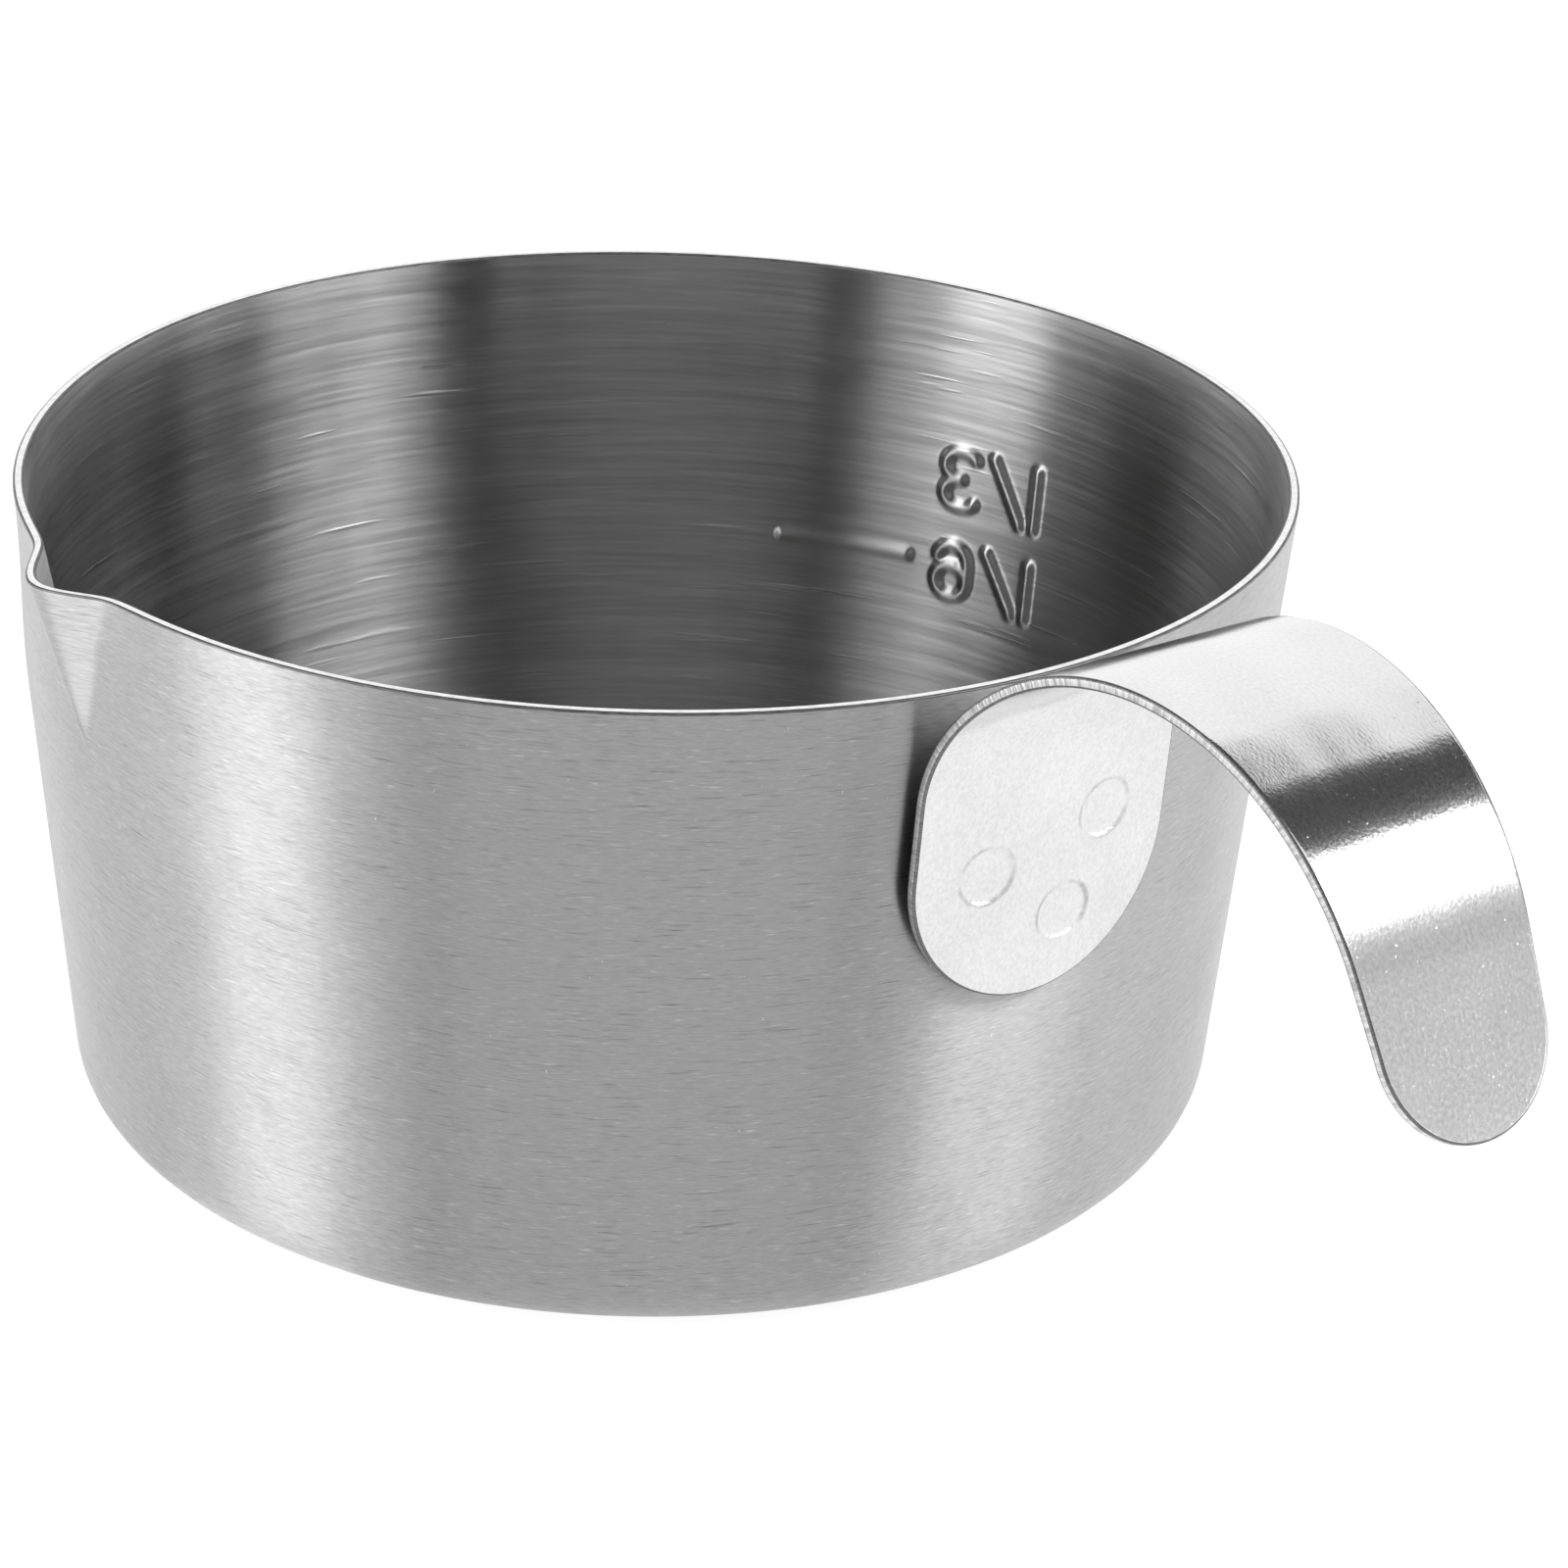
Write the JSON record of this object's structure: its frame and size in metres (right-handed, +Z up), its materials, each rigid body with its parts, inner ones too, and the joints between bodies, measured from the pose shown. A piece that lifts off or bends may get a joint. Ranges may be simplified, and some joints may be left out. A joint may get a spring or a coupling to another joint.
{
  "type": "candle melting pot",
  "caption": "Small round metal melting pot with a slightly tapered wall, a pour spout pressed into the rim and a bent strip handle spot-welded to the wall.",
  "frame": {"origin": "centre of the flat underside that the pot rests on", "axes": "+Z up along the cup's axis, +X from the cup's axis towards the handle, -Y, within 2 degrees, towards the pour spout"},
  "size_m": [0.0883, 0.0627, 0.0362],
  "materials": {
    "pot_body": "satin, brushed round the wall",
    "handle": "semi-polished",
    "spot_weld": "dull, as welded"
  },
  "bodies": {
    "root": {"pot_body": "pot_body", "handle": "handle", "spot_weld_left": "spot_weld", "spot_weld_right": "spot_weld", "spot_weld_lower": "spot_weld"}
  },
  "joints": []
}
